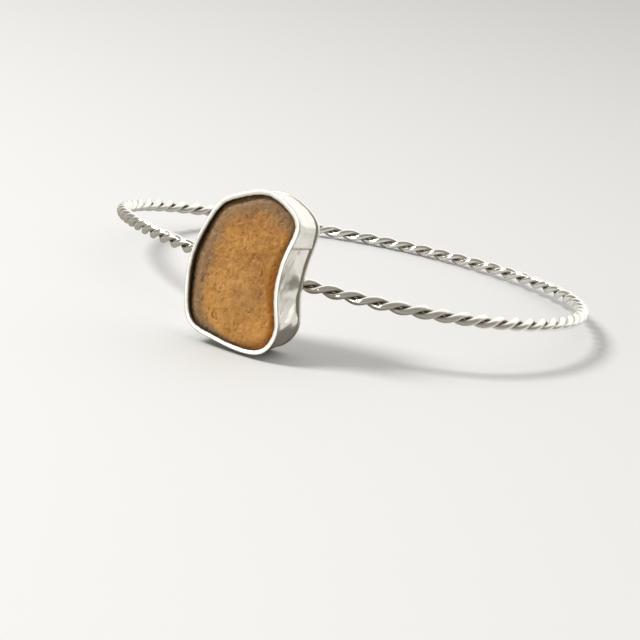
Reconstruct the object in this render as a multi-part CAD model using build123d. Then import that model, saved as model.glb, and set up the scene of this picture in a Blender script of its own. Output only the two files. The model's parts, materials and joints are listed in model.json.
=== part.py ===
from build123d import *
import math
import os

# A bangle of two twisted silver wires with a piece of sea glass in a bezel setting.
# Millimetres and degrees. It is built round the hoop's own axis, with the setting
# at the front on -Y, and is leaned back at the end as it lies on a table.

# hoop: two round wires twisted together, bent round and butt-soldered behind the setting
hoop_radius = 32.5      # mean radius of the twist's centreline
oval = 0.4              # out of round, two bulges round the hoop
oval_side = 148
pear = 0.6              # out of round, three bulges
pear_side = 55
warp = 0.36             # out of flat, two waves round the hoop
warp_side = 56
wire = 0.9              # diameter of each wire
strand_gap = 0.02       # clearance between the two wires
turns = 36              # whole turns of the twist in the hoop
twist_start = 9         # angle of the first wire where the hoop crosses +X
uneven = 0.05           # the twist is tighter on one side of the hoop
tight_side = 234
points_per_turn = 8
joint_gap = 0.9 * wire  # space for solder between the wires' ends

# setting: back plate, bezel strip and glass, outside the hoop
plate = 0.6             # thickness of the back plate
depth = 6.2             # back of the plate to the front of the rim
wall = 0.5              # thickness of the bezel strip
lip = 0.2               # how far the rim is pressed in over the glass
lip_height = 0.4
waist = 0.6             # how far the front of the strip is pressed in at the waist
waist_height = 2.4
waist_reach = 3.2
spread = 0.045          # the front of the setting is this much taller than its back
seam_height = 4.7       # where the strip's two ends meet, on the +X side
seam = 0.12             # width of the soldered seam
base_seam = 0.1         # solder between strip and plate

# glass
glass_fit = 0.08        # clearance between the glass and the strip
seat_gap = 0.02         # clearance between the glass and the plate
lip_gap = 0.06          # clearance below the lip
recess = 0.15           # the glass stands this far below the rim
crown = 1.1             # width of its rounded edge inside the lip

# solder that holds the setting on the hoop
bond = 0.12             # solder between the twist and the plate, at its thinnest
pool = 0.55             # thickness of the pool from the plate outwards
pool_length = 7.4
pool_width = 2.6
saddle_gap = 0.01       # the twist lies in a saddle in the pool, this much clear of it

# outline of the setting at the back plate, seen from the front, clockwise from the head
outline = [
    (1.0, 10.5), (4.2, 9.6), (6.5, 7.5), (6.5, 4.8), (6.1, 1.5), (6.2, -2.0), (6.7, -4.9), (5.4, -7.5),
    (2.5, -8.6), (-1.7, -8.1), (-4.8, -7.2), (-6.4, -3.8), (-6.8, 1.5), (-5.8, 5.3), (-4.2, 8.3), (-1.8, 9.8),
]
outline_spans = 4       # the outline is this many smooth curves, joined in line

twist_radius = wire + strand_gap / 2      # outside radius of the twist
strand_offset = (wire + strand_gap) / 2   # from the twist's centreline to each wire's own


def hoop_point(angle):
    """Point on the twist's centreline at an angle round the hoop."""
    a = math.radians(angle)
    radius = hoop_radius + oval * math.cos(2 * (a - math.radians(oval_side)))
    radius += pear * math.cos(3 * (a - math.radians(pear_side)))
    height = warp * math.cos(2 * (a - math.radians(warp_side)))
    return Vector(radius * math.cos(a), radius * math.sin(a), height)


def hoop_tangent(angle, step=0.01):
    return (hoop_point(angle + step) - hoop_point(angle - step)).normalized()


def foremost_angle():
    """Angle where the hoop runs parallel to X at the front, found by halving."""
    low, high = -120.0, -60.0
    while high - low > 1e-6:
        middle = (low + high) / 2
        if hoop_tangent(middle).Y < 0:
            low = middle
        else:
            high = middle
    return (low + high) / 2


joint_angle = foremost_angle()
joint = hoop_point(joint_angle)
back_y = joint.Y - twist_radius - bond    # the plate's back face
setting = Plane(origin=(joint.X, back_y, 0), x_dir=(1, 0, 0), z_dir=(0, -1, 0))
wall_base = plate + base_seam
lip_base = depth - lip_height


def strand(start):
    """One wire of the twist: a tube of straight runs and tangent arcs along a helix."""
    count = turns * points_per_turn
    offset = strand_offset / math.cos(math.pi / points_per_turn)
    spare = 0.15 * joint_gap / hoop_radius
    points = []
    for i in range(count + 1):
        share = min(max(i / count, spare / math.tau), 1 - spare / math.tau)
        angle = joint_angle + 360 * share
        swing = math.degrees(uneven) * math.sin(math.radians(angle - tight_side))
        turn = math.radians(turns * (angle + swing) + start)
        along = hoop_tangent(angle)
        outward = along.cross(Vector(0, 0, 1)).normalized()
        upward = outward.cross(along)
        points.append(hoop_point(angle) + outward * (offset * math.cos(turn)) + upward * (offset * math.sin(turn)))
    radii = []
    for before, here, after in zip(points, points[1:], points[2:]):
        bend = math.radians((here - before).get_angle(after - here))
        radii.append(0.45 * min((here - before).length, (after - here).length) / math.tan(bend / 2))
    path = FilletPolyline(*points, radius=radii)
    tube = sweep(Plane(origin=path @ 0, z_dir=path % 0) * Circle(wire / 2), path=path)
    print("strand bends", round(min(radii), 2), "to", round(max(radii), 2), "mm, length", round(path.length, 1))
    print("strand volume", round(tube.volume, 3), "section times length", round(math.pi * wire**2 / 4 * path.length, 3))
    trimmed = tube - joint_space(4 * twist_radius)
    return trimmed.solids().sort_by(SortBy.VOLUME)[-1]


def joint_plane():
    return Plane(origin=joint, z_dir=hoop_tangent(joint_angle))


def joint_space(size):
    return joint_plane() * Box(size, size, joint_gap)


def ring(inset, height):
    """Closed outline of the setting, moved inwards by inset, at a height above the plate's back."""
    share = (height - wall_base) / (depth - wall_base)
    share = max(share, 0)
    shaped = []
    for x, z in outline:
        pinch = waist * math.exp(-(((z - waist_height) / waist_reach) ** 2)) if x > 0 else 0
        shaped.append(Vector(x - share * pinch, z * (1 + share * spread)))
    count = len(shaped)
    along = [(shaped[(i + 1) % count] - shaped[i - 1]).normalized() for i in range(count)]
    moved = [here + Vector(way.Y, -way.X) * inset for here, way in zip(shaped, along)]
    span = count // outline_spans
    edges = []
    for start in range(0, count, span):
        picks = [(start + i) % count for i in range(span + 1)]
        edges.append(Spline(*[moved[i] for i in picks], tangents=(along[picks[0]], along[picks[-1]])))
    return setting.offset(height) * Wire(edges)


def block(*sections):
    """Solid through outlines given as (inset, height), from the back forwards."""
    return loft([make_face(ring(inset, height)) for inset, height in sections], ruled=True)


def bezel():
    """The bezel strip as a closed band, its rim pressed in over the glass."""
    band = block((0, wall_base), (0, depth))
    band -= block((wall, wall_base - 0.05), (wall, wall_base), (wall, lip_base))
    band -= block((wall + lip, wall_base), (wall + lip, depth), (wall + lip, depth + 1))
    return band


def seam_slab():
    x = max(x for x, z in outline)
    slab = Box(4 * wall + 2 * waist, 3 * depth, seam)
    return Pos(joint.X + x - waist, back_y, seam_height) * slab


def glass():
    inset = wall + glass_fit
    inner = wall + lip + lip_gap
    return block(
        (inset, plate + seat_gap),
        (inset, lip_base - 2 * lip),
        (inner, lip_base - lip_gap),
        (inner + 0.35 * crown, depth - 2 * recess),
        (inner + crown, depth - recess),
    )


def solder_pool():
    """Solder between plate and hoop: a pool with a saddle that the twist lies in."""
    pad = extrude(setting * Ellipse(pool_length / 2, pool_width / 2), amount=-pool)
    reach = math.degrees(pool_length / hoop_radius)
    route = ThreePointArc(hoop_point(joint_angle - reach), joint, hoop_point(joint_angle + reach))
    saddle = sweep(Plane(origin=route @ 0, z_dir=route % 0) * Circle(twist_radius + saddle_gap), path=route)
    return pad - saddle


def build():
    strand_a = strand(twist_start)
    strand_b = strand(twist_start + 180)
    joint_solder = joint_plane() * Cylinder(twist_radius, joint_gap)
    band = bezel()
    slab = seam_slab()
    solids = {
        "twist_wire_a": strand_a,
        "twist_wire_b": strand_b,
        "hoop_joint_solder": joint_solder,
        "back_plate": block((0, 0), (0, plate)),
        "bezel_base_solder": block((0, plate), (0, wall_base)) - block((wall, 0), (wall, wall_base + 1)),
        "bezel_strip": band - slab,
        "bezel_seam_solder": band & slab,
        "setting_solder": solder_pool(),
        "sea_glass": glass(),
    }
    return solids


def lean_angle():
    """Angle at which the setting's foot and the hoop's far side both touch the table."""
    far = hoop_point(90)
    drop = far.Z - twist_radius
    foot_z = min(z for x, z in outline)
    back = math.atan2(drop - foot_z, far.Y - back_y)
    front = math.atan2(drop - foot_z * (1 + spread), far.Y - back_y + depth)
    return math.degrees(max(back, front))


lean = lean_angle()
print("lean", round(lean, 3), "joint angle", round(joint_angle, 2), "joint at", joint)
parts = {name: Rot(X=-lean) * solid for name, solid in build().items()}
box = Compound(children=[Compound(solid.solids()) for solid in parts.values()]).bounding_box()
shift = Pos(-box.center().X, -box.center().Y, -box.min.Z)
print("overall size", box.size, "hoop centre at", shift.position)
os.makedirs("parts", exist_ok=True)
for name, solid in parts.items():
    placed = shift * solid
    export_step(Compound(placed.solids()), f"parts/{name}.step")
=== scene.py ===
import bpy
import json
import math
import random
import numpy as np
from mathutils import Matrix, Vector


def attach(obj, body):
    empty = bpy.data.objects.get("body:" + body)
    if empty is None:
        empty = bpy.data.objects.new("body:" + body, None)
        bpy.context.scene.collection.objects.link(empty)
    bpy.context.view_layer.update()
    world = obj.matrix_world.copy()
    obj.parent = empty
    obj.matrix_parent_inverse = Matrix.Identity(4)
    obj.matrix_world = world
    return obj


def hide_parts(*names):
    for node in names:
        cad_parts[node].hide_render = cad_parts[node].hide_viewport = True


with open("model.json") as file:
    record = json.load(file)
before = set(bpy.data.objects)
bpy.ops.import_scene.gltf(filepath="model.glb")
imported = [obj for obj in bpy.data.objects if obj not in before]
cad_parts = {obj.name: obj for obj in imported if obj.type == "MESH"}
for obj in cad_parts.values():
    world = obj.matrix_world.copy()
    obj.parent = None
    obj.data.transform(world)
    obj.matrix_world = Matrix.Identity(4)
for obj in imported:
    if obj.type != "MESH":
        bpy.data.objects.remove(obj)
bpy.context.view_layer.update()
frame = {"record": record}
mm = 0.001

# The hoop is worked out in millimetres round its own axis, setting at the front on -Y,
# then leaned back onto the table by the place and direction of the wrist opening.
wristOpening = next(m for m in frame["record"]["mounts"] if m["name"] == "wrist_opening")
hoopCentre = np.array(wristOpening["pos_m"])
leanBack = np.array(Vector((0, 0, 1)).rotation_difference(Vector(wristOpening["axis"])).to_matrix())


def onTable(points):
    # hoop millimetres -> table metres
    return np.asarray(points) * mm @ leanBack.T + hoopCentre


def smoothStep(low, high, value):
    t = np.clip((value - low) / (high - low), 0, 1)
    return t * t * (3 - 2 * t)


hills = {"seedShift": 7.31, "cellMix": np.array([127.1, 311.7, 74.7]), "scatter": 43758.5453}


def lumps(points, size, seed):
    # soft random hills, -1 to 1, with hills about this size apart
    q = np.asarray(points, float) / size + seed * hills["seedShift"]
    base = np.floor(q)
    f = q - base
    f = f * f * (3 - 2 * f)
    total = 0
    for corner in range(8):
        step = np.array([corner & 1, corner >> 1 & 1, corner >> 2 & 1])
        cell = (base + step) @ hills["cellMix"]
        height = np.sin(cell) * hills["scatter"]
        height -= np.floor(height)
        weight = np.prod(np.where(step, f, 1 - f), axis=-1)
        total = total + weight * height
    return total * 2 - 1


def roughLumps(points, size, seed, layers=3):
    # lumps with finer lumps on them
    total = 0
    for i in range(layers):
        total = total + lumps(points, size / 2 ** i, seed + i * 3.7) / 2 ** i
    return total


def closedCurve(points, count):
    # smooth closed curve through the points, count places spaced by length
    points = np.array(points, float)
    n = len(points)
    gap = np.linalg.norm(np.roll(points, -1, 0) - points, axis=1)
    system = np.zeros((n, n))
    right = np.zeros((n, 2))
    for i in range(n):
        before, after = gap[i - 1], gap[i]
        system[i, i - 1] += 1 / before
        system[i, i] += 2 / before + 2 / after
        system[i, (i + 1) % n] += 1 / after
        right[i] = 3 * (points[i] - points[i - 1]) / before ** 2
        right[i] += 3 * (points[(i + 1) % n] - points[i]) / after ** 2
    slope = np.linalg.solve(system, right)
    knots = np.concatenate([[0], np.cumsum(gap)])
    where = np.linspace(0, knots[-1], count, endpoint=False)
    i = np.clip(np.searchsorted(knots, where, "right") - 1, 0, n - 1)
    j = (i + 1) % n
    h = gap[i][:, None]
    t = ((where - knots[i]) / gap[i])[:, None]
    return ((2 * t ** 3 - 3 * t ** 2 + 1) * points[i] + (t ** 3 - 2 * t ** 2 + t) * h * slope[i]
            + (3 * t ** 2 - 2 * t ** 3) * points[j] + (t ** 3 - t ** 2) * h * slope[j])


def inwards(curve):
    # unit directions into a closed clockwise curve
    along = np.roll(curve, -1, 0) - np.roll(curve, 1, 0)
    along /= np.linalg.norm(along, axis=1)[:, None]
    return np.stack([along[:, 1], -along[:, 0]], 1)


def gridFaces(rows, columns, closedRows):
    # quads over a grid whose columns always close up
    faces = []
    for r in range(rows if closedRows else rows - 1):
        a, b = r * columns, (r + 1) % rows * columns
        for c in range(columns):
            d = (c + 1) % columns
            faces.append((a + c, a + d, b + d, b + c))
    return faces


def makePiece(name, points, faces, finish, nodes, shades):
    # points in hoop millimetres; the piece stands for the CAD nodes and rides on the one body
    mesh = bpy.data.meshes.new(name)
    mesh.from_pydata([tuple(p) for p in onTable(points)], [], faces)
    mesh.update()
    mesh.shade_smooth()
    for shade, values in shades.items():
        attribute = mesh.attributes.new(shade, "FLOAT", "POINT")
        attribute.data.foreach_set("value", np.asarray(values, np.float32))
    piece = bpy.data.objects.new(name, mesh)
    bpy.context.scene.collection.objects.link(piece)
    mesh.materials.append(finish)
    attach(piece, "root")
    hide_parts(*nodes)
    print(name, len(mesh.vertices), "vertices")


def newFinish(name):
    finish = bpy.data.materials.new(name)
    finish.use_nodes = True
    tree = finish.node_tree
    shader = tree.nodes["Principled BSDF"]
    return finish, tree, shader


def addNode(tree, kind, inputs=None, **settings):
    made = tree.nodes.new(kind)
    for key, value in settings.items():
        setattr(made, key, value)
    for key, value in (inputs or {}).items():
        if isinstance(value, bpy.types.NodeSocket):
            tree.links.new(value, made.inputs[key])
        else:
            made.inputs[key].default_value = value
    return made


def ramp(tree, factor, stops):
    made = addNode(tree, "ShaderNodeValToRGB", {"Fac": factor})
    bar = made.color_ramp
    while len(bar.elements) < len(stops):
        bar.elements.new(0.5)
    for element, (place, colour) in zip(bar.elements, stops):
        element.position = place
        element.color = (*colour, 1)
    return made.outputs["Color"]


def blend(tree, factor, under, over):
    # over on top of under by factor; the colour sockets of a Mix node come after its number ones
    made = addNode(tree, "ShaderNodeMix", data_type="RGBA")
    for number, value in ((0, factor), (6, under), (7, over)):
        if isinstance(value, bpy.types.NodeSocket):
            tree.links.new(value, made.inputs[number])
        else:
            made.inputs[number].default_value = value if number == 0 else (*value, 1)
    return made.outputs[2]


def grey(value):
    return (value, value, value)


silverRelief = {"cloud": 0.00005, "scratch": 0.00001, "grain": 0.000005}     # metres at full strength


def silverFinish(name, look):
    # silver with fine scratches and a cloudy polish, darkened by a mark that is partly tarnish where
    # the buff can't reach and partly painted shade in grooves and recesses
    finish, tree, shader = newFinish(name)
    place = addNode(tree, "ShaderNodeTexCoord").outputs["Object"]
    clouds = addNode(tree, "ShaderNodeTexNoise",
                     {"Vector": place, "Scale": 1 / look["cloud"], "Detail": 4.0, "Roughness": 0.6})
    stretched = addNode(tree, "ShaderNodeMapping", {"Vector": place, "Scale": look["scratchStretch"],
                                                    "Rotation": look["scratchTurn"]})
    scratches = addNode(tree, "ShaderNodeTexNoise",
                        {"Vector": stretched.outputs[0], "Scale": 1 / look["scratch"], "Detail": 6.0,
                         "Roughness": 0.75})
    fine = addNode(tree, "ShaderNodeTexNoise",
                   {"Vector": place, "Scale": 1 / look["grain"], "Detail": 3.0})
    tarnishAndPaintedShade = addNode(tree, "ShaderNodeAttribute", attribute_name="tarnishAndPaintedShade").outputs["Fac"]
    polish = ramp(tree, clouds.outputs["Fac"],
                  [(0.3, grey(look["roughLow"])), (0.7, grey(look["roughHigh"]))])
    worn = addNode(tree, "ShaderNodeMath", {0: tarnishAndPaintedShade, 1: look["hollowRough"]},
                   operation="MULTIPLY").outputs[0]
    filed = addNode(tree, "ShaderNodeAttribute", attribute_name="filed").outputs["Fac"]
    satin = addNode(tree, "ShaderNodeMath", {0: filed, 1: look["filedRough"], 2: worn},
                    operation="MULTIPLY_ADD").outputs[0]
    rough = addNode(tree, "ShaderNodeMath", {0: polish, 1: satin}, operation="ADD").outputs[0]
    tree.links.new(rough, shader.inputs["Roughness"])
    tone = ramp(tree, clouds.outputs["Fac"], [(0.25, look["colour"]), (0.75, look["cloudColour"])])
    # the tone goes darker by the mark: tarnish plus painted shade
    tree.links.new(blend(tree, tarnishAndPaintedShade, tone, look["tarnishAndShadeColour"]), shader.inputs["Base Color"])
    low = addNode(tree, "ShaderNodeBump", {"Height": clouds.outputs["Fac"],
                                           "Strength": look["cloudBump"],
                                           "Distance": silverRelief["cloud"]})
    mid = addNode(tree, "ShaderNodeBump", {"Height": scratches.outputs["Fac"], "Normal": low.outputs[0],
                                           "Strength": look["scratchBump"],
                                           "Distance": silverRelief["scratch"]})
    top = addNode(tree, "ShaderNodeBump", {"Height": fine.outputs["Fac"], "Normal": mid.outputs[0],
                                           "Strength": look["grainBump"],
                                           "Distance": silverRelief["grain"]})
    tree.links.new(top.outputs[0], shader.inputs["Normal"])
    shader.inputs["Metallic"].default_value = 1
    return finish


wireLook = {
    "colour": (0.95, 0.93, 0.89), "cloudColour": (0.9, 0.88, 0.83), "tarnishAndShadeColour": (0.36, 0.33, 0.27),
    "cloud": 0.0011, "roughLow": 0.07, "roughHigh": 0.17,
    "hollowRough": 0.25, "filedRough": 0.0, "cloudBump": 0.3,
    "scratch": 0.0004, "scratchStretch": (1, 1, 1), "scratchTurn": (0.2, 0.1, 0.4), "scratchBump": 0.25,
    "grain": 0.00008, "grainBump": 0.2,
}
stripLook = {
    "colour": (0.92, 0.9, 0.855), "cloudColour": (0.87, 0.84, 0.78), "tarnishAndShadeColour": (0.22, 0.19, 0.15),
    "cloud": 0.0022, "roughLow": 0.13, "roughHigh": 0.27,
    "hollowRough": 0.35, "filedRough": 0.24, "cloudBump": 0.4,
    "scratch": 0.0005, "scratchStretch": (1, 0.2, 1), "scratchTurn": (0, 0, 0.1), "scratchBump": 0.3,
    "grain": 0.00012, "grainBump": 0.35,
}
solderLook = {
    "colour": (0.86, 0.83, 0.76), "cloudColour": (0.74, 0.7, 0.6), "tarnishAndShadeColour": (0.3, 0.27, 0.2),
    "cloud": 0.0006, "roughLow": 0.2, "roughHigh": 0.42,
    "hollowRough": 0.2, "filedRough": 0.0, "cloudBump": 0.6,
    "scratch": 0.0003, "scratchStretch": (1, 1, 1), "scratchTurn": (0, 0, 0), "scratchBump": 0.3,
    "grain": 0.0001, "grainBump": 0.4,
}
wireFinish = silverFinish("polishedWire", wireLook)
stripFinish = silverFinish("handPolishedStrip", stripLook)
solderFinish = silverFinish("hardSolder", solderLook)


hoop = {
    "radius": 32.5,
    "oval": 0.4, "ovalSide": 148,
    "pear": 0.6, "pearSide": 55,
    "warp": 0.36, "warpSide": 56,
}
twist = {
    "wire": 0.9, "gap": 0.02, "turns": 36, "start": 9,
    "uneven": 0.05, "tightSide": 234,
    "jointGap": 0.81,          # room for solder between the wires' ends
    "sides": 28, "ringsPerTurn": 44,
    "drawnUneven": 0.008, "drawnSize": 3.0,     # share by which the wire's thickness wanders
    "drawnThinner": 1.8,                        # and how far it is kept on the thin side
    "handUneven": 1.6, "handSize": 9.0,         # degrees by which the twist wanders
    "hollowFrom": -0.05, "hollowTo": 0.75,      # where tarnish and painted shade in the groove between the wires begin
}
twistRadius = twist["wire"] + twist["gap"] / 2


def hoopPoints(angles):
    a = np.radians(angles)
    radius = hoop["radius"] + hoop["oval"] * np.cos(2 * (a - math.radians(hoop["ovalSide"])))
    radius = radius + hoop["pear"] * np.cos(3 * (a - math.radians(hoop["pearSide"])))
    height = hoop["warp"] * np.cos(2 * (a - math.radians(hoop["warpSide"])))
    return np.stack([radius * np.cos(a), radius * np.sin(a), height], -1)


def hoopDirections(angles):
    step = 0.01
    way = hoopPoints(angles + step) - hoopPoints(angles - step)
    return way / np.linalg.norm(way, axis=-1, keepdims=True)


def foremostAngle():
    # where the hoop comes furthest forwards, which is where the wires meet behind the setting
    low, high = -120.0, -60.0
    while high - low > 1e-6:
        middle = (low + high) / 2
        if hoopDirections(np.array([middle]))[0, 1] < 0:
            low = middle
        else:
            high = middle
    return (low + high) / 2


frontAngle = foremostAngle()
frontPoint = hoopPoints(np.array([frontAngle]))[0]


def makeWire(name, start, node):
    rings = twist["turns"] * twist["ringsPerTurn"]
    spare = math.degrees(twist["jointGap"] / 2 / hoop["radius"])
    angles = np.linspace(frontAngle + spare, frontAngle + 360 - spare, rings)
    swing = math.degrees(twist["uneven"]) * np.sin(np.radians(angles - twist["tightSide"]))
    centre = hoopPoints(angles)
    handSwing = twist["handUneven"] * roughLumps(centre, twist["handSize"], 2.0)
    turn = np.radians(twist["turns"] * (angles + swing) + start + handSwing)[:, None]
    along = hoopDirections(angles)
    outward = np.cross(along, (0, 0, 1))
    outward /= np.linalg.norm(outward, axis=1)[:, None]
    upward = np.cross(outward, along)
    arm = outward * np.cos(turn) + upward * np.sin(turn)
    middle = centre + arm * (twist["wire"] + twist["gap"]) / 2
    way = np.gradient(middle, axis=0)
    way /= np.linalg.norm(way, axis=1)[:, None]
    armOut = arm - way * np.sum(arm * way, 1)[:, None]
    armOut /= np.linalg.norm(armOut, axis=1)[:, None]
    armSide = np.cross(way, armOut)
    around = np.linspace(0, math.tau, twist["sides"], endpoint=False)
    thinner = twist["drawnThinner"] + roughLumps(middle, twist["drawnSize"], start / 60 + 5)
    thick = twist["wire"] / 2 * (1 - twist["drawnUneven"] * thinner)
    spoke = armOut[:, None] * np.cos(around)[None, :, None]
    spoke = spoke + armSide[:, None] * np.sin(around)[None, :, None]
    points = middle[:, None] + spoke * thick[:, None, None]
    # the side of each wire that faces the other: tarnish and painted shade in the groove between them
    tarnishAndPaintedShade = smoothStep(twist["hollowFrom"], twist["hollowTo"], -np.cos(around))
    tarnishAndPaintedShade = tarnishAndPaintedShade[None, :].repeat(rings, 0)
    faces = gridFaces(rings, twist["sides"], False)
    flat = points.reshape(-1, 3)
    # flat sawn ends, behind the setting
    last = (rings - 1) * twist["sides"]
    faces.append(tuple(range(twist["sides"]))[::-1])
    faces.append(tuple(last + i for i in range(twist["sides"])))
    faces = [f[::-1] for f in faces]
    makePiece(name, flat, faces, wireFinish, [node],
              {"tarnishAndPaintedShade": tarnishAndPaintedShade.reshape(-1)})


makeWire("twistWireA", twist["start"], "twist_wire_a")
makeWire("twistWireB", twist["start"] + 180, "twist_wire_b")
print("twisted hoop made")


# Places in the setting are (x, height, z): x to the right and z up from the foremost point
# of the hoop, height forwards from the back of the plate.

setting = {
    "bond": 0.12, "plate": 0.6, "baseSeam": 0.1, "depth": 6.2, "wall": 0.5,
    "around": 420,
    "backLine": [
        (1.0, 10.5), (4.2, 9.6), (6.5, 7.5), (6.5, 4.8), (6.1, 1.5), (6.2, -2.0),
        (6.7, -4.9), (5.4, -7.5), (2.5, -8.6), (-1.7, -8.1), (-4.8, -7.2),
        (-6.4, -3.8), (-6.8, 1.5), (-5.8, 5.3), (-4.2, 8.3), (-1.8, 9.8),
    ],
    "rimLine": [
        (1.7, 10.85), (4.6, 9.9), (6.6, 7.7), (6.2, 4.9), (5.6, 1.4), (6.0, -2.3),
        (6.7, -5.5), (5.4, -8.3), (2.6, -8.95), (-1.8, -8.4), (-5.1, -7.3),
        (-6.6, -3.6), (-6.8, 1.5), (-5.8, 5.3), (-4.2, 8.4), (-1.9, 9.8),
    ],
}
backY = frontPoint[1] - twistRadius - setting["bond"]
wallBase = setting["plate"] + setting["baseSeam"]
backCurve = closedCurve(setting["backLine"], setting["around"])
rimCurve = closedCurve(setting["rimLine"], setting["around"])


def inSetting(x, height, z):
    x, height, z = np.broadcast_arrays(x, height, z)
    return np.stack([frontPoint[0] + x, backY - height, z], -1)


def wallPlace(inset, height):
    # places all round the setting at an inset from its outside and a height
    height = height + np.zeros(setting["around"])
    share = np.clip((height - wallBase) / (setting["depth"] - wallBase), 0, 1)[:, None]
    curve = backCurve * (1 - share) + rimCurve * share
    moved = curve + inwards(curve) * (inset + np.zeros(setting["around"]))[:, None]
    return inSetting(moved[:, 0], height, moved[:, 1])


rim = {
    "width": 0.47, "widthWander": 0.06, "headWidth": 0.14, "rightWidth": 0.14,
    "cutEdge": 0.034, "cutEdgeSize": 0.5,          # the inside edge was cut by hand
    "edgeRound": 0.08, "slope": 0.05, "lip": 0.42,
    "paintedEdgeLine": 0.55, "paintedInnerEdgeShade": 0.1, "paintedUnderLipShade": 0.9,    # a painted dark line along the outer edge in place of a dark reflection, painted shade on the inner edge and under the lip, 0 to 1
    "underDrop": 0.12, "insideDrop": 0.4, "insideRows": 6,
    "wallRows": 44,
    "crest": 0.05, "crestSize": 5.0,               # the rim's height wanders
    "dents": 0.1, "dentSize": 3.3, "ripple": 0.034, "rippleSize": 1.5, "rippleStretch": (1, 0.45, 1),
    "seamZ": 4.7, "seamStep": 0.17, "seamSoft": 0.12,      # the strip's lower end sits a little deeper
    "stepFrom": -1.5, "stepTo": 2.5,
    "fold": 0.13, "foldTop": (3.4, 4.5), "foldFoot": (5.6, -0.6), "foldWidth": 0.3,
    "pleat": 0.03, "pleatGap": 2.1, "pleatLean": 0.8,      # slanting burnisher marks near the foot
    "pleatTop": (-1, -3), "pleatFoot": (-9, -7.5),
    "rightFrom": 3, "besideRim": 0.9, "deepest": 0.36,
}


def wallPress(places, height):
    # how far the hammered and burnished wall stands out (+) or in (-) at each place
    x, z = places[..., 0] - frontPoint[0], places[..., 2]
    press = rim["dents"] * (np.clip(roughLumps(places, rim["dentSize"], 8.0), -1.2, 1.0) - 1)
    ripples = roughLumps(places * rim["rippleStretch"], rim["rippleSize"], 3.0, 2)
    press = press + rim["ripple"] * (ripples - 1)
    onRight = smoothStep(0, rim["rightFrom"], x)
    below = smoothStep(rim["seamZ"] + rim["seamSoft"], rim["seamZ"] - rim["seamSoft"], z)
    below = below * smoothStep(rim["stepFrom"], rim["stepTo"], z)
    press = press - rim["seamStep"] * below * onRight
    (topHeight, topZ), (footHeight, footZ) = rim["foldTop"], rim["foldFoot"]
    down = np.clip((topZ - z) / (topZ - footZ), 0, 1)
    off = height - (topHeight + (footHeight - topHeight) * down)
    fade = smoothStep(0, 0.12, down) * smoothStep(1, 0.8, down) * onRight
    press = press - rim["fold"] * np.exp(-(off / rim["foldWidth"]) ** 2) * fade
    across = (z + rim["pleatLean"] * height) * math.tau / rim["pleatGap"]
    pleats = np.sin(across + lumps(places, 2.5, 15.0))
    pleats = (pleats - 1) * smoothStep(*rim["pleatTop"], z) * smoothStep(*rim["pleatFoot"], z)
    press = press + rim["pleat"] * pleats * onRight
    # never so deep that the wall wears thin
    press = rim["deepest"] * np.tanh(press / rim["deepest"])
    return press * smoothStep(0, rim["besideRim"], setting["depth"] - height)


def makeStrip():
    count = setting["around"]
    depth = setting["depth"]
    direction = np.arctan2(rimCurve[:, 1], rimCurve[:, 0])
    edge = wallPlace(0, depth)
    width = rim["width"] + rim["widthWander"] * roughLumps(edge, 4.0, 11.0)
    width = width + rim["headWidth"] * np.clip(np.sin(direction), 0, 1) ** 4
    width = width + rim["rightWidth"] * np.clip(np.cos(direction), 0, 1)
    width = width + rim["cutEdge"] * roughLumps(edge, rim["cutEdgeSize"], 13.0, 2)
    crest = -rim["crest"] * np.clip(1 + roughLumps(edge, rim["crestSize"], 4.0), 0, 2)
    r = rim["edgeRound"]
    level = np.zeros(count)
    # inset, height and finish of each line round the strip: outside, over the rim, down the inside
    wall = [(level, level + h, 0, 0) for h in np.linspace(wallBase, depth - r, rim["wallRows"])]
    top = []
    for turn in (30, 60, 90):
        a = math.radians(turn)
        # a painted dark line along the outer edge, standing in for a dark reflection
        line = rim["paintedEdgeLine"] * (turn < 90)
        top.append((level + r * (1 - math.cos(a)), depth - r + r * math.sin(a) + crest, line, 1))
    for share in (0.25, 0.5, 0.75, 1.0):
        top.append((r + (width - 2 * r) * share, depth - rim["slope"] * share ** 2 + crest, 0, 1))
    inner = width - r
    for turn in (30, 60, 90):
        a = math.radians(turn)
        height = depth - rim["slope"] - r * (1 - math.cos(a)) + crest
        top.append((inner + r * math.sin(a), height, rim["paintedInnerEdgeShade"], 1))
    under = depth - rim["lip"]
    # painted shade under the lip and down the inside wall
    inside = [(width, level + under, rim["paintedUnderLipShade"], 0)]
    inside.append((level + setting["wall"], level + under - rim["underDrop"], 1, 0))
    for h in np.linspace(under - rim["insideDrop"], wallBase, rim["insideRows"]):
        inside.append((level + setting["wall"], level + h, 1, 0))
    lines = wall + top + inside
    points = np.array([wallPlace(inset, height) for inset, height, _, _ in lines])
    outward = -inwards(rimCurve)
    for row in range(rim["wallRows"]):
        press = wallPress(points[row], lines[row][1])
        points[row, :, 0] += outward[:, 0] * press
        points[row, :, 2] += outward[:, 1] * press
    tarnishAndPaintedShade = np.repeat([line[2] for line in lines], count)
    filed = np.repeat([line[3] for line in lines], count)
    faces = gridFaces(len(lines), count, True)
    makePiece("bezelStrip", points.reshape(-1, 3), faces, stripFinish, ["bezel_strip"],
              {"tarnishAndPaintedShade": tarnishAndPaintedShade, "filed": filed})


makeStrip()


seam = {
    "width": 0.1, "proud": 0.004, "edge": 0.01, "thick": 0.3, "stop": 0.12,
    "steps": 26, "wander": 0.03, "wanderSize": 1.1,
}


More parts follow.
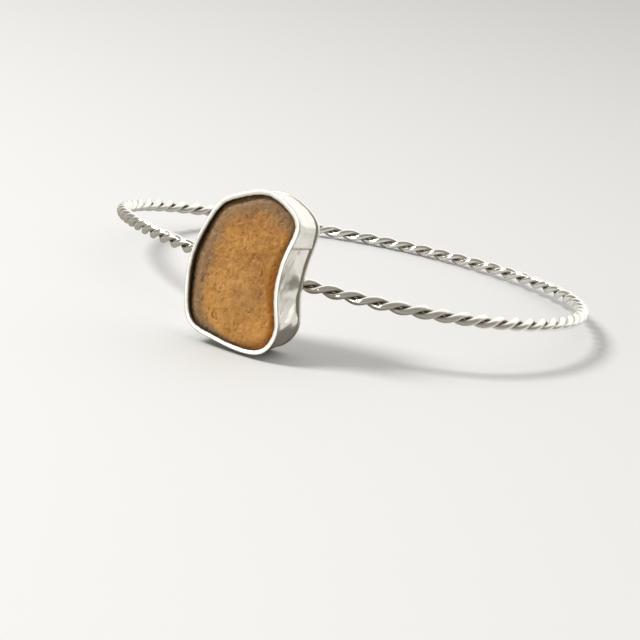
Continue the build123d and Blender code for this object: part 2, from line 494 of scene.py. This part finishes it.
def makeSeam():
    # the soldered joint where the strip's ends meet: a fine line up the wall, on the head's right
    right = np.where(rimCurve[:, 0] > 0)[0]
    at = right[np.argmin(abs(rimCurve[right, 1] - rim["seamZ"]))]
    way = -inwards(rimCurve)[at]
    profile = ((-1, -seam["edge"]), (-0.45, seam["proud"]), (0.45, seam["proud"]), (1, -seam["edge"]),
               (1, -seam["thick"]), (-1, -seam["thick"]))
    corners = len(profile)
    points = []
    for h in np.linspace(wallBase, setting["depth"] - seam["stop"], seam["steps"]):
        place = wallPlace(0, h)[at]
        press = wallPress(place, h)
        wander = seam["wander"] * lumps(np.array([0, h, 0]), seam["wanderSize"], 2.0)
        for side, out in profile:
            across = np.array([-way[1], way[0]]) * (side * seam["width"] / 2 + wander)
            shift = way * (press + out) + across
            points.append(place + np.array([shift[0], 0, shift[1]]))
    faces = gridFaces(seam["steps"], corners, False)
    last = (seam["steps"] - 1) * corners
    faces += [tuple(range(corners))[::-1], tuple(last + i for i in range(corners))]
    makePiece("bezelSeam", points, faces, solderFinish, ["bezel_seam_solder"],
              {"tarnishAndPaintedShade": np.zeros(len(points))})


makeSeam()


plate = {
    "edgeRound": 0.14,
    "outer": (0.5, 1.0),                 # insets of the lines near the edge
    "inner": (2.0, 3.0, 4.5, 6.0),       # and of those drawn in towards the middle
    "middle": 6.4,
    "bow": 0.02, "bowSize": 4.0,
}


def makePlate():
    # back plate, sawn to the outline, its edge softened with a file
    r = plate["edgeRound"]
    t = setting["plate"]
    count = setting["around"]
    nearest = max(plate["outer"])
    section = [(inset, 0.0) for inset in (*plate["inner"][::-1], *plate["outer"][::-1], r)]
    backRows = len(section)
    for turn in (30, 60, 90):
        a = math.radians(turn)
        section.append((r * (1 - math.sin(a)), r * (1 - math.cos(a))))
    section += [(0, t * 0.5), (0, t - 0.05), (0.05, t), (1.0, t), (3.0, t), (6.0, t)]
    middle = backCurve.mean(0)
    rows = []
    for inset, height in section:
        if inset <= nearest:
            rows.append(wallPlace(inset, height))
        else:
            near = wallPlace(nearest, height)
            spot = inSetting(middle[:1], height, middle[1:])[0]
            share = (plate["middle"] - inset) / (plate["middle"] - nearest)
            rows.append(spot + (near - spot) * share)
    points = np.array(rows)
    points[:backRows, :, 1] -= plate["bow"] * (1 + lumps(points[:backRows], plate["bowSize"], 6.0))
    flat = list(points.reshape(-1, 3))
    faces = gridFaces(len(section), count, False)
    faces = [f[::-1] for f in faces]
    for row, order in ((0, 1), (len(section) - 1, -1)):
        ring = points[row]
        flat.append(ring.mean(0))
        hub = len(flat) - 1
        for c in range(count):
            a, b = row * count + c, row * count + (c + 1) % count
            faces.append((hub, a, b)[::order])
    makePiece("backPlate", flat, faces, stripFinish, ["back_plate"],
              {"tarnishAndPaintedShade": np.zeros(len(flat))})


makePlate()


baseSeam = {"round": 0.03, "tarnishAndPaintedShade": 0.4}


def makeBaseSeam():
    # solder between plate and strip, drawn in to a fine line all round
    r = baseSeam["round"]
    # inset and height of each line round the seam
    section = [(0.015, wallBase - r), (0.0, wallBase), (0.06, wallBase + 0.02), (0.45, wallBase + 0.02),
               (0.6, wallBase - 0.02), (0.75, setting["plate"]), (0.1, setting["plate"] - 0.02),
               (0.01, setting["plate"] + 0.01)]
    rows = [wallPlace(inset, height) for inset, height in section]
    points = np.array(rows).reshape(-1, 3)
    faces = gridFaces(len(section), setting["around"], True)
    makePiece("bezelBaseSolder", points, faces, solderFinish, ["bezel_base_solder"],
              {"tarnishAndPaintedShade": np.full(len(points), baseSeam["tarnishAndPaintedShade"])})


makeBaseSeam()


pool = {
    "length": 7.4, "width": 2.6, "thick": 0.55, "edge": 0.06,
    "rows": 26, "around": 96,
    "fit": 0.95, "wander": 0.05, "wanderSize": 3,
    "ridge": 0.8,              # half width of the ridge drawn up along the wires
}


def makePool():
    # solder that has run between the plate and the twist, thin at its edge, drawn up to the wires
    points, tarnishAndPaintedShade = [], []
    turn = np.linspace(0, math.tau, pool["around"], endpoint=False)
    circle = np.stack([np.cos(turn), np.sin(turn), 0 * turn], 1)
    wander = 1 + pool["wander"] * lumps(circle * pool["wanderSize"], 1.0, 9.0)
    for share in np.linspace(1, 0.02, pool["rows"]):
        x = pool["length"] / 2 * share * np.cos(turn) * wander * pool["fit"]
        z = pool["width"] / 2 * share * np.sin(turn) * wander * pool["fit"]
        rise = np.exp(-(z / pool["ridge"]) ** 2) * smoothStep(1.02, 0.55, share)
        height = -(pool["edge"] * smoothStep(1.0, 0.9, share) + (pool["thick"] - pool["edge"]) * rise)
        points.append(inSetting(x, height, frontPoint[2] + z))
        # darker along the ridge up to the wires: tarnish and painted shade in the crease under them
        tarnishAndPaintedShade.append(0.5 * rise)
    base = inSetting(points[0][:, 0] - frontPoint[0], np.full(len(turn), 0.01), points[0][:, 2])
    rows = [base] + points
    flat = list(np.array(rows).reshape(-1, 3))
    faces = gridFaces(len(rows), pool["around"], False)
    flat.append(rows[-1].mean(0))
    hub = len(flat) - 1
    last = (len(rows) - 1) * pool["around"]
    for c in range(pool["around"]):
        faces.append((last + c, last + (c + 1) % pool["around"], hub))
    faces.append(tuple(range(pool["around"]))[::-1])
    shade = np.concatenate([np.zeros(pool["around"]), np.array(tarnishAndPaintedShade).reshape(-1), [0.5]])
    makePiece("settingSolder", flat, faces, solderFinish, ["setting_solder"],
              {"tarnishAndPaintedShade": shade})


makePool()


drop = {
    "radius": 0.9, "length": twist["jointGap"],
    "around": 48, "rows": 15,
    "narrower": 0.93, "squash": 0.05, "endsIn": 0.5, "lump": 0.02, "lumpSize": 0.7,
    "tarnishAndPaintedShade": 0.2,
}


def makeJointSolder():
    # the drop that closes the hoop between the wires' sawn ends
    along = hoopDirections(np.array([frontAngle]))[0]
    outward = np.cross(along, (0, 0, 1))
    upward = np.cross(outward, along)
    turn = np.linspace(0, math.tau, drop["around"], endpoint=False)
    points = []
    for share in np.linspace(-1, 1, drop["rows"]):
        across = drop["radius"] * (1 - drop["endsIn"] * abs(share) ** 5)
        across = across * (drop["narrower"] + drop["squash"] * np.cos(2 * turn))
        spoke = outward * np.cos(turn)[:, None] + upward * np.sin(turn)[:, None]
        ring = frontPoint + along * share * drop["length"] / 2 + spoke * across[:, None]
        points.append(ring + spoke * drop["lump"] * lumps(ring, drop["lumpSize"], 5.0)[:, None])
    flat = list(np.array(points).reshape(-1, 3))
    faces = [f[::-1] for f in gridFaces(drop["rows"], drop["around"], False)]
    last = (drop["rows"] - 1) * drop["around"]
    faces.append(tuple(range(drop["around"])))
    faces.append(tuple(last + i for i in range(drop["around"]))[::-1])
    makePiece("hoopJointSolder", flat, faces, solderFinish, ["hoop_joint_solder"],
              {"tarnishAndPaintedShade": np.full(len(flat), drop["tarnishAndPaintedShade"])})


makeJointSolder()
print("setting made")


glass = {
    "fit": 0.06, "recess": 0.1, "crown": 1.7, "crownDrop": 0.95,
    "rows": 170, "around": 640,
    "swell": 0.12, "swellSize": 4.5,
    "middle": (0.0, 0.8), "underFit": 0.3, "seat": 0.02, "edgeFoot": 0.5,
    "relief": 0.028, "reliefSize": 0.7, "reliefWarp": 0.35, "warpSize": 0.9,      # the worn grain
    "pits": 300, "pitSmall": 0.05, "pitLarge": 0.15, "pitDepth": 0.03,
    "strokes": 120, "strokeWidth": 0.055, "strokeDepth": 0.035, "strokeBend": 0.12,
    "crescents": 6, "crescentSmall": 0.16, "crescentLarge": 0.36, "crescentDepth": 0.03,
    "crescentWidth": 0.045, "crescentMark": 0.8,
    "arcWobble": 0.09, "arcEnd": 0.3,
    # the marks that stand out: x, z, radius, start and sweep of the arc in degrees
    "bigMarks": [(-1.75, -5.3, 0.62, 165, 140), (-0.2, 3.6, 0.5, 300, 70), (3.9, 0.9, 0.9, 150, 60),
                 (4.2, 7.3, 0.32, 20, 150), (-3.9, -1.8, 0.7, 130, 80), (2.3, -3.6, 0.45, 200, 100)],
    "bigWidth": 0.09, "bigDepth": 0.08,
    "seed": 12,
    "grainTone": 0.16,
    "toneWander": 0.5, "toneSize": 1.6,
    "shadeLeft": 3.4, "shadeHead": 3.0, "warmRight": 1.9,
    "dullPatch": (1.3, -2.4), "dullSize": 2.3, "dullShare": 0.16,
}


def arcGroove(x, z, mark, width):
    # a shallow groove along part of a circle, its line a little unsteady
    markX, markZ, size, start, sweep = mark
    place = np.stack([x, 0 * x, z], -1)
    wobble = lumps(place, 0.35, 17.0) + 0.5 * lumps(place, 0.15, 19.0)
    out = np.hypot(x - markX, z - markZ) + glass["arcWobble"] * wobble
    turn = (np.arctan2(z - markZ, x - markX) - start) % math.tau
    inArc = smoothStep(0, glass["arcEnd"], turn) * smoothStep(sweep, sweep - glass["arcEnd"], turn)
    return np.exp(-((out - size) / width) ** 2) * inArc


def wornSurface(x, z):
    # how deep the sea has pitted the face at each place, and how bruised (+) or scuffed pale (-) it is
    chance = random.Random(glass["seed"])
    depth = np.zeros_like(x)
    bruise = np.zeros_like(x)

    def turned(px, pz, reach, long, turn):
        # the places near a mark, and their distances along and across it
        near = np.where((abs(x - px) < reach) & (abs(z - pz) < reach))
        dx, dz = x[near] - px, z[near] - pz
        along = (dx * math.cos(turn) + dz * math.sin(turn)) / long
        return near, along, -dx * math.sin(turn) + dz * math.cos(turn)

    for i in range(glass["pits"]):
        px, pz = chance.uniform(-7, 7), chance.uniform(-9.2, 11)
        size = glass["pitSmall"] + (glass["pitLarge"] - glass["pitSmall"]) * chance.random() ** 3
        long, turn, mark = chance.uniform(1, 1.9), chance.uniform(0, math.pi), chance.uniform(0.2, 0.8)
        near, u, v = turned(px, pz, size * 3, long, turn)
        bowl = np.exp(-((u * u + v * v) / size ** 2) ** 1.5)
        depth[near] += bowl * glass["pitDepth"] * (0.4 + size / glass["pitLarge"])
        bruise[near] += bowl * mark
    for i in range(glass["strokes"]):
        px, pz = chance.uniform(-6.5, 6.5), chance.uniform(-9, 10.5)
        long, turn = chance.uniform(0.18, 0.5), chance.gauss(0.9, 0.8)
        mark = chance.choice((0.9, 0.7, -0.7))
        near, u, v = turned(px, pz, long * 2.5, long, turn)
        v = v + glass["strokeBend"] * u * u
        cut = np.exp(-u ** 4 - (v / glass["strokeWidth"]) ** 2)
        depth[near] += cut * glass["strokeDepth"] * (1 if mark > 0 else -0.5)
        bruise[near] += cut * mark
    for i in range(glass["crescents"]):
        px, pz = chance.uniform(-6, 6), chance.uniform(-8.5, 10.5)
        larger = glass["crescentLarge"] - glass["crescentSmall"]
        size = glass["crescentSmall"] + larger * chance.random() ** 2
        mark = (px, pz, size, chance.uniform(0, math.tau), chance.uniform(1.4, 3.6))
        groove = arcGroove(x, z, mark, glass["crescentWidth"])
        depth += groove * glass["crescentDepth"]
        bruise += groove * glass["crescentMark"]
    for markX, markZ, size, start, sweep in glass["bigMarks"]:
        mark = (markX, markZ, size, math.radians(start), math.radians(sweep))
        groove = arcGroove(x, z, mark, glass["bigWidth"])
        depth += groove * glass["bigDepth"]
        bruise += groove
    return depth, np.clip(bruise, -1, 1)


def makeGlass():
    depth = setting["depth"]
    curve = closedCurve(setting["rimLine"], glass["around"])
    back = closedCurve(setting["backLine"], glass["around"])
    girdle = curve + inwards(curve) * (setting["wall"] + glass["fit"])
    seat = back + inwards(back) * (setting["wall"] + glass["fit"] + glass["underFit"])
    middle = np.array(glass["middle"])
    bottom = setting["plate"] + glass["seat"]
    top = depth - glass["recess"]
    rows, bruises, shades, warms = [], [], [], []
    plain = np.zeros(glass["around"])
    # the underside and edge, then the worn face from its edge to the middle
    edgeFoot = setting["plate"] + glass["edgeFoot"]
    for share, height in ((1.0, bottom), (0.6, edgeFoot), (0.0, depth * 0.5)):
        line = seat * share + girdle * (1 - share)
        rows.append(inSetting(line[:, 0], height, line[:, 1]))
        bruises.append(plain)
        # the underside and edge are fully in painted shade
        shades.append(plain + 1)
        warms.append(plain)
    reach = np.linalg.norm(girdle - middle, axis=1)
    side = (girdle - middle) / reach[:, None]
    # painted shade along the left side and head, darkest next to the rim as a painted shadow of the
    # rim; deeper orange towards the right and lower right
    shadeWidth = glass["shadeLeft"] * smoothStep(0.15, -0.75, side[:, 0]) ** 1.2
    shadeWidth = np.maximum(shadeWidth, glass["shadeHead"] * smoothStep(0.45, 0.95, side[:, 1])) + 0.25
    warmWidth = glass["warmRight"] * smoothStep(-0.05, 0.5, side[:, 0])
    warmWidth = warmWidth * smoothStep(0.5, 0.1, side[:, 1])
    for share in np.linspace(0, 1, glass["rows"])[:-1] ** 1.15:
        line = girdle + (middle - girdle) * share
        inset = reach * share
        flat = np.stack([line[:, 0], 0 * inset, line[:, 1]], 1)
        drop = glass["crownDrop"] * (1 - smoothStep(-0.9, glass["crown"], inset)) ** 1.3
        swell = glass["swell"] * (roughLumps(flat, glass["swellSize"], 1.0) - 0.7)
        bend = [lumps(flat, glass["warpSize"], 31.0), 0 * inset, lumps(flat, glass["warpSize"], 37.0)]
        bent = flat + glass["reliefWarp"] * np.stack(bend, 1)
        grain = 1 - 2 * abs(roughLumps(bent, glass["reliefSize"], 6.0, 4))
        relief = glass["relief"] * (grain - 1)
        pit, bruise = wornSurface(line[:, 0], line[:, 1])
        height = top - drop + np.minimum(swell, 0) + relief - pit
        rows.append(inSetting(line[:, 0], height, line[:, 1]))
        wander = glass["toneWander"] * roughLumps(flat, glass["toneSize"], 21.0)
        bruises.append(np.clip(bruise - glass["grainTone"] * (grain + 0.1), -1, 1))
        shade = smoothStep(shadeWidth + wander * np.minimum(shadeWidth, 1), -0.3, inset)
        # a duller greyish-tan patch of the glass's own tone, carried in the same mark as the painted
        # shade
        off = np.hypot(line[:, 0] - glass["dullPatch"][0], line[:, 1] - glass["dullPatch"][1])
        dull = glass["dullShare"] * np.exp(-(off / glass["dullSize"]) ** 2) * (1 + wander)
        shades.append(np.maximum(shade, dull))
        warms.append(smoothStep(np.maximum(warmWidth + 0.3 * wander, 0.2), 0.1, inset))
    points = np.array(rows)
    flat = list(points.reshape(-1, 3))
    faces = gridFaces(len(rows), glass["around"], False)
    flat.append(points[-1].mean(0))
    hub = len(flat) - 1
    last = (len(rows) - 1) * glass["around"]
    for c in range(glass["around"]):
        faces.append((last + c, last + (c + 1) % glass["around"], hub))
    flat.append(inSetting(middle[0], bottom, middle[1]))
    under = len(flat) - 1
    for c in range(glass["around"]):
        faces.append(((c + 1) % glass["around"], c, under))
    marks = {"bruise": bruises, "shade": shades, "warm": warms}
    marks = {name: np.append(np.array(values).reshape(-1), [0, 0]) for name, values in marks.items()}
    makePiece("seaGlass", flat, faces, glassFinish, ["sea_glass"], marks)


glassLook = {
    "deep": (0.27, 0.1, 0.01), "amber": (0.38, 0.16, 0.018), "honey": (0.5, 0.235, 0.036),
    "foot": (0.56, 0.265, 0.05), "footFrom": 0.012, "footTo": 0.003, "footShare": 0.6,
    "driftScale": 260.0, "speckScale": 1700.0, "frostScale": 11000.0,
    "speckRelief": 0.00012, "frostRelief": 0.00002,
    "scuff": (0.62, 0.37, 0.17), "bruised": (0.16, 0.066, 0.015),
    "shade": (0.2, 0.118, 0.052), "shadeDark": (0.03, 0.013, 0.006), "warm": (0.4, 0.125, 0.002),
}


def seaGlassFinish():
    # amber glass, frosted and bruised
    finish, tree, shader = newFinish("amberSeaGlass")
    place = addNode(tree, "ShaderNodeTexCoord").outputs["Object"]
    drift = addNode(tree, "ShaderNodeTexNoise", {"Vector": place, "Scale": glassLook["driftScale"],
                                                 "Detail": 5.0, "Roughness": 0.6})
    speck = addNode(tree, "ShaderNodeTexNoise", {"Vector": place, "Scale": glassLook["speckScale"],
                                                 "Detail": 5.0, "Roughness": 0.65})
    frost = addNode(tree, "ShaderNodeTexNoise", {"Vector": place, "Scale": glassLook["frostScale"],
                                                 "Detail": 3.0})
    mark = {name: addNode(tree, "ShaderNodeAttribute", attribute_name=name).outputs["Fac"]
            for name in ("bruise", "shade", "warm")}
    colour = ramp(tree, drift.outputs["Fac"], [(0.3, glassLook["deep"]), (0.48, glassLook["amber"]),
                                               (0.68, glassLook["honey"])])
    height = addNode(tree, "ShaderNodeSeparateXYZ", {"Vector": place}).outputs["Z"]
    low = addNode(tree, "ShaderNodeMapRange", {"Value": height, "From Min": glassLook["footFrom"],
                                               "From Max": glassLook["footTo"],
                                               "To Max": glassLook["footShare"]}).outputs[0]
    colour = blend(tree, low, colour, glassLook["foot"])
    grime = ramp(tree, speck.outputs["Fac"], [(0.32, grey(0.55)), (0.5, grey(0.0))])
    colour = blend(tree, grime, colour, glassLook["bruised"])
    pale = ramp(tree, speck.outputs["Fac"], [(0.55, grey(0.0)), (0.72, grey(0.5))])
    colour = blend(tree, pale, colour, glassLook["scuff"])
    colour = blend(tree, mark["warm"], colour, glassLook["warm"])
    # painted shade over the left side, head and edge, darkest next to the rim as a painted shadow of
    # the rim
    shaded = addNode(tree, "ShaderNodeMapRange", {"Value": mark["shade"], "From Min": 0.0,
                                                  "From Max": 0.55, "To Max": 0.9}).outputs[0]
    colour = blend(tree, shaded, colour, glassLook["shade"])
    darkest = addNode(tree, "ShaderNodeMapRange", {"Value": mark["shade"], "From Min": 0.74,
                                                   "From Max": 1.05, "To Max": 0.95}).outputs[0]
    colour = blend(tree, darkest, colour, glassLook["shadeDark"])
    bruised = addNode(tree, "ShaderNodeMapRange", {"Value": mark["bruise"], "To Max": 0.62}).outputs[0]
    colour = blend(tree, bruised, colour, glassLook["bruised"])
    scuffed = addNode(tree, "ShaderNodeMapRange", {"Value": mark["bruise"], "From Min": 0.0,
                                                   "From Max": -1.0, "To Max": 0.6}).outputs[0]
    colour = blend(tree, scuffed, colour, glassLook["scuff"])
    tree.links.new(colour, shader.inputs["Base Color"])
    rough = ramp(tree, speck.outputs["Fac"], [(0.3, grey(0.42)), (0.8, grey(0.62))])
    tree.links.new(rough, shader.inputs["Roughness"])
    coarse = addNode(tree, "ShaderNodeBump", {"Height": speck.outputs["Fac"], "Strength": 0.6,
                                              "Distance": glassLook["speckRelief"]})
    top = addNode(tree, "ShaderNodeBump", {"Height": frost.outputs["Fac"], "Normal": coarse.outputs[0],
                                           "Strength": 0.4, "Distance": glassLook["frostRelief"]})
    tree.links.new(top.outputs[0], shader.inputs["Normal"])
    shader.inputs["IOR"].default_value = 1.5
    shader.inputs["Specular IOR Level"].default_value = 0.2
    shader.inputs["Transmission Weight"].default_value = 0.12
    shader.inputs["Subsurface Weight"].default_value = 0.25
    shader.inputs["Subsurface Radius"].default_value = (0.0014, 0.0006, 0.0002)
    shader.inputs["Subsurface Scale"].default_value = 1.0
    return finish


glassFinish = seaGlassFinish()
makeGlass()
print("sea glass made")


table = {
    "size": 3.0, "pale": (0.6, 0.6, 0.597),
    # what the silver sees of the table: painted shade on the near side, seen only in reflections, pale
    # again behind
    "shaded": (0.24, 0.232, 0.205), "shadedTo": -0.01, "paleFrom": 0.06,
    # and a painted pale patch inside the hoop, beside the setting, also seen only in reflections
    "reflectionPatch": (0.03, 0.006, 0), "reflectionPatchSize": 0.025, "reflectionPatchCore": 0.014,
}


def makeTable():
    size = table["size"]
    mesh = bpy.data.meshes.new("table")
    corners = [(-size, -size, 0), (size, -size, 0), (size, size, 0), (-size, size, 0)]
    mesh.from_pydata(corners, [], [(0, 1, 2, 3)])
    top = bpy.data.objects.new("table", mesh)
    bpy.context.scene.collection.objects.link(top)
    finish, tree, shader = newFinish("paleTable")
    place = addNode(tree, "ShaderNodeTexCoord").outputs["Object"]
    far = addNode(tree, "ShaderNodeSeparateXYZ", {"Vector": place}).outputs["Y"]
    nearness = addNode(tree, "ShaderNodeMapRange", {"Value": far, "From Min": table["paleFrom"],
                                                    "From Max": table["shadedTo"]}).outputs[0]
    offReflectionPatch = addNode(tree, "ShaderNodeVectorMath", {0: place, 1: table["reflectionPatch"]}, operation="DISTANCE")
    outsideReflectionPatch = addNode(tree, "ShaderNodeMapRange", {"Value": offReflectionPatch.outputs["Value"],
                                                  "From Min": table["reflectionPatchCore"],
                                                  "From Max": table["reflectionPatchSize"]}).outputs[0]
    shaded = addNode(tree, "ShaderNodeMath", {0: nearness, 1: outsideReflectionPatch}, operation="MULTIPLY").outputs[0]
    # painted shade and pale patch only for reflection rays; the table itself stays evenly pale
    mirrored = addNode(tree, "ShaderNodeLightPath").outputs["Is Glossy Ray"]
    amount = addNode(tree, "ShaderNodeMath", {0: shaded, 1: mirrored}, operation="MULTIPLY").outputs[0]
    tree.links.new(blend(tree, amount, table["pale"], table["shaded"]), shader.inputs["Base Color"])
    shader.inputs["Roughness"].default_value = 0.8
    shader.inputs["Specular IOR Level"].default_value = 0.2
    mesh.materials.append(finish)


room = {
    "towards": (-0.1, 0.62, 0.78),      # the bright side: behind the bangle and overhead
    "mirrored": (-0.12, 0.84, 0.53),    # and where the silver sees it, lower down
    "near": (0.27, 0.262, 0.235), "between": (0.4, 0.39, 0.365), "bright": (1, 0.995, 0.975),
    "strength": 1.1,
}


def makeRoom():
    # white walls behind and above, a dimmer room on the near side for the silver to show
    world = bpy.data.worlds.new("room")
    bpy.context.scene.world = world
    world.use_nodes = True
    tree = world.node_tree
    place = addNode(tree, "ShaderNodeTexCoord").outputs["Generated"]
    glossy = addNode(tree, "ShaderNodeLightPath").outputs["Is Glossy Ray"]
    side = blend(tree, glossy, room["towards"], room["mirrored"])
    facing = addNode(tree, "ShaderNodeVectorMath", {0: place, 1: side}, operation="DOT_PRODUCT")
    share = addNode(tree, "ShaderNodeMapRange", {"Value": facing.outputs["Value"],
                                                 "From Min": -1.0}).outputs[0]
    tone = ramp(tree, share, [(0.58, room["near"]), (0.72, room["between"]), (0.82, room["bright"])])
    background = tree.nodes["Background"]
    tree.links.new(tone, background.inputs["Color"])
    background.inputs["Strength"].default_value = room["strength"]


lamps = {
    "key": {"place": (-0.38, -0.3, 0.5), "size": 0.22, "power": 4.6, "colour": (1, 0.985, 0.96)},
    "window": {"place": (-0.31, -0.74, 0.1), "size": 0.42, "power": 1.7, "colour": (1, 1, 1)},
}


def makeLamps():
    for name, lamp in lamps.items():
        light = bpy.data.lights.new(name, "AREA")
        light.shape = "DISK"
        light.size = lamp["size"]
        light.energy = lamp["power"]
        light.color = lamp["colour"]
        holder = bpy.data.objects.new(name, light)
        bpy.context.scene.collection.objects.link(holder)
        holder.location = lamp["place"]
        holder.rotation_mode = "QUATERNION"
        holder.rotation_quaternion = (-Vector(lamp["place"])).to_track_quat("-Z", "Y")


camera = {
    "aim": (-0.00139, 0.00062, -0.0039),
    "distance": 0.28739, "azimuth": 23.774, "elevation": 15.168, "roll": 9.697,
    "lens": 117.13, "sensor": 36,
}


def makeCamera():
    lens = bpy.data.cameras.new("camera")
    lens.lens = camera["lens"]
    lens.sensor_width = camera["sensor"]
    lens.clip_start, lens.clip_end = 0.01, 20
    holder = bpy.data.objects.new("camera", lens)
    bpy.context.scene.collection.objects.link(holder)
    a, e = math.radians(camera["azimuth"]), math.radians(camera["elevation"])
    back = Vector((math.sin(a) * math.cos(e), -math.cos(a) * math.cos(e), math.sin(e)))
    turn = (-back).to_track_quat("-Z", "Y").to_matrix()
    turn = turn @ Matrix.Rotation(math.radians(camera["roll"]), 3, "Z")
    place = Vector(camera["aim"]) + back * camera["distance"]
    holder.matrix_world = Matrix.Translation(place) @ turn.to_4x4()
    bpy.context.scene.camera = holder


makeTable()
makeRoom()
makeLamps()
makeCamera()
bpy.context.scene.view_settings.view_transform = "Standard"
print("table, light and camera made")
